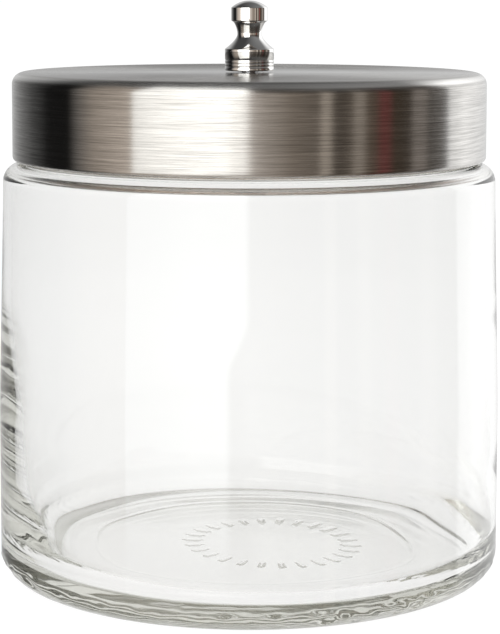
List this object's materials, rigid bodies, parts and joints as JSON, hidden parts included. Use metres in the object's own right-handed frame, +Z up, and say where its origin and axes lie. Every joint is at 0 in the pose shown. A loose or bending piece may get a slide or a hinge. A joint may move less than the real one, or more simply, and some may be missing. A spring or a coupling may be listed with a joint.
{
  "type": "dressing jar",
  "caption": "Clear glass straight-sided jar with a thick base and a lift-off brushed stainless lid that has a turned metal knob.",
  "frame": {"origin": "centre of the flat ring that the jar stands on", "axes": "+Z up along the jar's axis, towards the knob; +X and +Y level"},
  "size_m": [0.127, 0.127, 0.1449],
  "materials": {
    "clear_glass": "clear, smooth",
    "brushed_stainless": "brushed round the skirt and the top",
    "polished_steel": "turned and polished",
    "zinc_plated_steel": "zinc plated"
  },
  "bodies": {
    "jar": {"glass_jar": "clear_glass"},
    "lid": {"lid_shell": "brushed_stainless", "lid_knob": "polished_steel", "knob_washer": "zinc_plated_steel", "knob_lock_washer": "zinc_plated_steel", "knob_screw": "zinc_plated_steel"}
  },
  "joints": [
    {"name": "lid_lift", "type": "slide", "parent": "jar", "child": "lid", "axis": [0, 0, 1], "range_m": [0, 0.06]}
  ]
}
